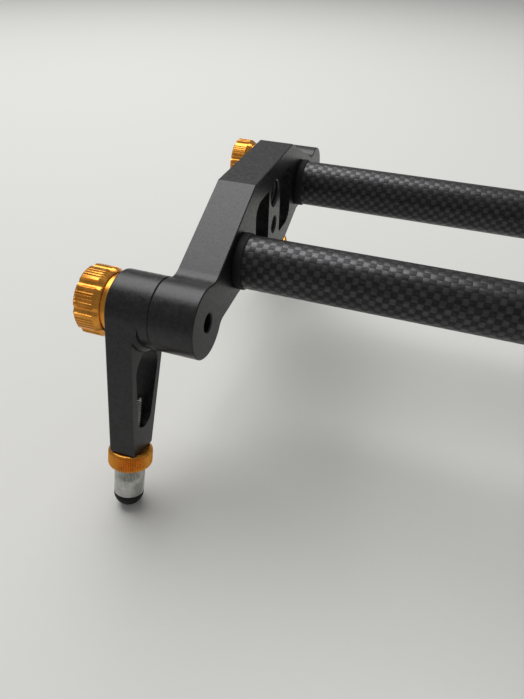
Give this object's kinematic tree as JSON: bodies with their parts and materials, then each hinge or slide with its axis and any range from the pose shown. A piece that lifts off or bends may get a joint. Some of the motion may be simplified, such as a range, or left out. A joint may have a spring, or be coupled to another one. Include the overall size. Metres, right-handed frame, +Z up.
{
  "type": "camera slider",
  "caption": "Two-rail camera slider with rolling carriage, brake, end brackets and folding legs with clamp knobs and screw-adjusted feet.",
  "frame": {"origin": "middle of the footprint, on the surface that the feet stand on", "axes": "+X along the rails, +Y towards the back rail, +Z up"},
  "size_m": [0.6524, 0.1868, 0.109],
  "materials": {
    "black_anodised": "fine blasted black anodising, satin",
    "orange_anodised": "orange-gold anodising, satin",
    "carbon_weave": "plain-weave carbon fibre, matte resin",
    "bright_steel": "turned and bright",
    "black_steel": "black oxide",
    "plain_aluminium": "machined",
    "black_nylon": "matte",
    "black_rubber": "matte",
    "level_glass": "clear with yellow-green fluid"
  },
  "bodies": {
    "frame": {"end_bracket_left": "black_anodised", "end_bracket_right": "black_anodised", "rail_tube_front": "carbon_weave", "rail_tube_back": "carbon_weave", "rail_end_plugs": "plain_aluminium", "rail_bolts": "black_steel", "rail_bumpers": "black_rubber", "left_front_pivot_washer": "black_nylon", "left_back_pivot_washer": "black_nylon", "right_front_pivot_washer": "black_nylon", "right_back_pivot_washer": "black_nylon"},
    "carriage": {"carriage_plate": "black_anodised", "friction_disc": "black_rubber", "camera_stud": "bright_steel", "level_housing": "black_anodised", "level_vial": "level_glass", "roller_inner_rings": "bright_steel", "roller_spacers": "bright_steel", "roller_axle_bolts": "black_steel", "roller_lock_nuts": "bright_steel", "brake_block": "black_anodised", "brake_block_screws": "black_steel"},
    "brake_pad_body": {"brake_pad": "black_rubber"},
    "brake_knob_body": {"brake_knob": "orange_anodised", "brake_screw": "black_steel"},
    "left_front_leg": {"left_front_leg_arm": "black_anodised"},
    "left_front_clamp": {"left_front_clamp_washer": "black_nylon"},
    "left_front_knob": {"left_front_clamp_knob": "orange_anodised", "left_front_clamp_screw": "black_steel"},
    "left_front_ring": {"left_front_lock_ring": "orange_anodised"},
    "left_front_tip": {"left_front_foot_tip": "black_rubber"},
    "left_front_foot_barrel": {"left_front_foot": "bright_steel"},
    "left_back_leg": {"left_back_leg_arm": "black_anodised"},
    "left_back_clamp": {"left_back_clamp_washer": "black_nylon"},
    "left_back_knob": {"left_back_clamp_knob": "orange_anodised", "left_back_clamp_screw": "black_steel"},
    "left_back_ring": {"left_back_lock_ring": "orange_anodised"},
    "left_back_tip": {"left_back_foot_tip": "black_rubber"},
    "left_back_foot_barrel": {"left_back_foot": "bright_steel"},
    "right_front_leg": {"right_front_leg_arm": "black_anodised"},
    "right_front_clamp": {"right_front_clamp_washer": "black_nylon"},
    "right_front_knob": {"right_front_clamp_knob": "orange_anodised", "right_front_clamp_screw": "black_steel"},
    "right_front_ring": {"right_front_lock_ring": "orange_anodised"},
    "right_front_tip": {"right_front_foot_tip": "black_rubber"},
    "right_front_foot_barrel": {"right_front_foot": "bright_steel"},
    "right_back_leg": {"right_back_leg_arm": "black_anodised"},
    "right_back_clamp": {"right_back_clamp_washer": "black_nylon"},
    "right_back_knob": {"right_back_clamp_knob": "orange_anodised", "right_back_clamp_screw": "black_steel"},
    "right_back_ring": {"right_back_lock_ring": "orange_anodised"},
    "right_back_tip": {"right_back_foot_tip": "black_rubber"},
    "right_back_foot_barrel": {"right_back_foot": "bright_steel"},
    "guide_roller_left_front_body": {"guide_roller_left_front": "black_nylon"},
    "guide_roller_left_back_body": {"guide_roller_left_back": "black_nylon"},
    "guide_roller_right_front_body": {"guide_roller_right_front": "black_nylon"},
    "guide_roller_right_back_body": {"guide_roller_right_back": "black_nylon"}
  },
  "joints": [
    {"name": "left_front_leg_swing", "type": "hinge", "parent": "frame", "child": "left_front_leg", "pos_m": [-0.31052, -0.066, 0.06964], "axis": [-1, 0, 0], "range_deg": [-59, 161]},
    {"name": "left_front_clamp_travel", "type": "slide", "parent": "frame", "child": "left_front_clamp", "axis": [-1, 0, 0], "range_m": [0, 0.002]},
    {"name": "left_front_knob_turn", "type": "hinge", "parent": "left_front_clamp", "child": "left_front_knob", "pos_m": [-0.31052, -0.066, 0.06964], "axis": [-1, 0, 0], "range_deg": [0, 720]},
    {"name": "left_front_ring_turn", "type": "hinge", "parent": "left_front_leg", "child": "left_front_ring", "pos_m": [-0.31052, -0.066, 0.06964], "axis": [0, -0.3256, -0.9455], "continuous": true},
    {"name": "left_front_foot_travel", "type": "slide", "parent": "left_front_leg", "child": "left_front_tip", "axis": [0, -0.3256, -0.9455], "range_m": [0, 0.014]},
    {"name": "left_front_foot_turn", "type": "hinge", "parent": "left_front_tip", "child": "left_front_foot_barrel", "pos_m": [-0.31052, -0.066, 0.06964], "axis": [0, -0.3256, -0.9455], "range_deg": [0, 5040]},
    {"name": "left_back_leg_swing", "type": "hinge", "parent": "frame", "child": "left_back_leg", "pos_m": [-0.31052, 0.066, 0.06964], "axis": [1, 0, 0], "range_deg": [-59, 161]},
    {"name": "left_back_clamp_travel", "type": "slide", "parent": "frame", "child": "left_back_clamp", "axis": [-1, 0, 0], "range_m": [0, 0.002]},
    {"name": "left_back_knob_turn", "type": "hinge", "parent": "left_back_clamp", "child": "left_back_knob", "pos_m": [-0.31052, 0.066, 0.06964], "axis": [-1, 0, 0], "range_deg": [0, 720]},
    {"name": "left_back_ring_turn", "type": "hinge", "parent": "left_back_leg", "child": "left_back_ring", "pos_m": [-0.31052, 0.066, 0.06964], "axis": [0, 0.3256, -0.9455], "continuous": true},
    {"name": "left_back_foot_travel", "type": "slide", "parent": "left_back_leg", "child": "left_back_tip", "axis": [0, 0.3256, -0.9455], "range_m": [0, 0.014]},
    {"name": "left_back_foot_turn", "type": "hinge", "parent": "left_back_tip", "child": "left_back_foot_barrel", "pos_m": [-0.31052, 0.066, 0.06964], "axis": [0, 0.3256, -0.9455], "range_deg": [0, 5040]},
    {"name": "right_front_leg_swing", "type": "hinge", "parent": "frame", "child": "right_front_leg", "pos_m": [0.31052, -0.066, 0.06964], "axis": [-1, 0, 0], "range_deg": [-59, 161]},
    {"name": "right_front_clamp_travel", "type": "slide", "parent": "frame", "child": "right_front_clamp", "axis": [1, 0, 0], "range_m": [0, 0.002]},
    {"name": "right_front_knob_turn", "type": "hinge", "parent": "right_front_clamp", "child": "right_front_knob", "pos_m": [0.31052, -0.066, 0.06964], "axis": [1, 0, 0], "range_deg": [0, 720]},
    {"name": "right_front_ring_turn", "type": "hinge", "parent": "right_front_leg", "child": "right_front_ring", "pos_m": [0.31052, -0.066, 0.06964], "axis": [0, -0.3256, -0.9455], "continuous": true},
    {"name": "right_front_foot_travel", "type": "slide", "parent": "right_front_leg", "child": "right_front_tip", "axis": [0, -0.3256, -0.9455], "range_m": [0, 0.014]},
    {"name": "right_front_foot_turn", "type": "hinge", "parent": "right_front_tip", "child": "right_front_foot_barrel", "pos_m": [0.31052, -0.066, 0.06964], "axis": [0, -0.3256, -0.9455], "range_deg": [0, 5040]},
    {"name": "right_back_leg_swing", "type": "hinge", "parent": "frame", "child": "right_back_leg", "pos_m": [0.31052, 0.066, 0.06964], "axis": [1, 0, 0], "range_deg": [-59, 161]},
    {"name": "right_back_clamp_travel", "type": "slide", "parent": "frame", "child": "right_back_clamp", "axis": [1, 0, 0], "range_m": [0, 0.002]},
    {"name": "right_back_knob_turn", "type": "hinge", "parent": "right_back_clamp", "child": "right_back_knob", "pos_m": [0.31052, 0.066, 0.06964], "axis": [1, 0, 0], "range_deg": [0, 720]},
    {"name": "right_back_ring_turn", "type": "hinge", "parent": "right_back_leg", "child": "right_back_ring", "pos_m": [0.31052, 0.066, 0.06964], "axis": [0, 0.3256, -0.9455], "continuous": true},
    {"name": "right_back_foot_travel", "type": "slide", "parent": "right_back_leg", "child": "right_back_tip", "axis": [0, 0.3256, -0.9455], "range_m": [0, 0.014]},
    {"name": "right_back_foot_turn", "type": "hinge", "parent": "right_back_tip", "child": "right_back_foot_barrel", "pos_m": [0.31052, 0.066, 0.06964], "axis": [0, 0.3256, -0.9455], "range_deg": [0, 5040]},
    {"name": "carriage_travel", "type": "slide", "parent": "frame", "child": "carriage", "axis": [1, 0, 0], "range_m": [-0.2335, 0.2335]},
    {"name": "guide_roller_left_front_spin", "type": "hinge", "parent": "carriage", "child": "guide_roller_left_front_body", "pos_m": [-0.033, -0.01885, 0.07574], "axis": [0, 0, 1], "range_deg": [-1488.51, 1488.51]},
    {"name": "guide_roller_left_back_spin", "type": "hinge", "parent": "carriage", "child": "guide_roller_left_back_body", "pos_m": [-0.033, 0.01885, 0.07574], "axis": [0, 0, 1], "range_deg": [-1488.51, 1488.51]},
    {"name": "guide_roller_right_front_spin", "type": "hinge", "parent": "carriage", "child": "guide_roller_right_front_body", "pos_m": [0.033, -0.01885, 0.07574], "axis": [0, 0, 1], "range_deg": [-1488.51, 1488.51]},
    {"name": "guide_roller_right_back_spin", "type": "hinge", "parent": "carriage", "child": "guide_roller_right_back_body", "pos_m": [0.033, 0.01885, 0.07574], "axis": [0, 0, 1], "range_deg": [-1488.51, 1488.51]},
    {"name": "brake_pad_travel", "type": "slide", "parent": "carriage", "child": "brake_pad_body", "axis": [0, -1, 0], "range_m": [0, 0.0015]},
    {"name": "brake_knob_turn", "type": "hinge", "parent": "brake_pad_body", "child": "brake_knob_body", "pos_m": [0, -0.0511, 0.07574], "axis": [0, -1, 0], "range_deg": [0, 540]}
  ],
  "couplings": [
    {"joint": "left_front_knob_turn", "follows": "left_front_clamp_travel", "rad_per_m": 6283.2},
    {"joint": "left_front_foot_travel", "follows": "left_front_foot_turn", "m_per_rad": 0.00015915},
    {"joint": "left_back_knob_turn", "follows": "left_back_clamp_travel", "rad_per_m": 6283.2},
    {"joint": "left_back_foot_travel", "follows": "left_back_foot_turn", "m_per_rad": 0.00015915},
    {"joint": "right_front_knob_turn", "follows": "right_front_clamp_travel", "rad_per_m": 6283.2},
    {"joint": "right_front_foot_travel", "follows": "right_front_foot_turn", "m_per_rad": 0.00015915},
    {"joint": "right_back_knob_turn", "follows": "right_back_clamp_travel", "rad_per_m": 6283.2},
    {"joint": "right_back_foot_travel", "follows": "right_back_foot_turn", "m_per_rad": 0.00015915},
    {"joint": "guide_roller_left_front_spin", "follows": "carriage_travel", "rad_per_m": -111.11},
    {"joint": "guide_roller_left_back_spin", "follows": "carriage_travel", "rad_per_m": 111.11},
    {"joint": "guide_roller_right_front_spin", "follows": "carriage_travel", "rad_per_m": -111.11},
    {"joint": "guide_roller_right_back_spin", "follows": "carriage_travel", "rad_per_m": 111.11},
    {"joint": "brake_pad_travel", "follows": "brake_knob_turn", "m_per_rad": 0.00015915}
  ]
}
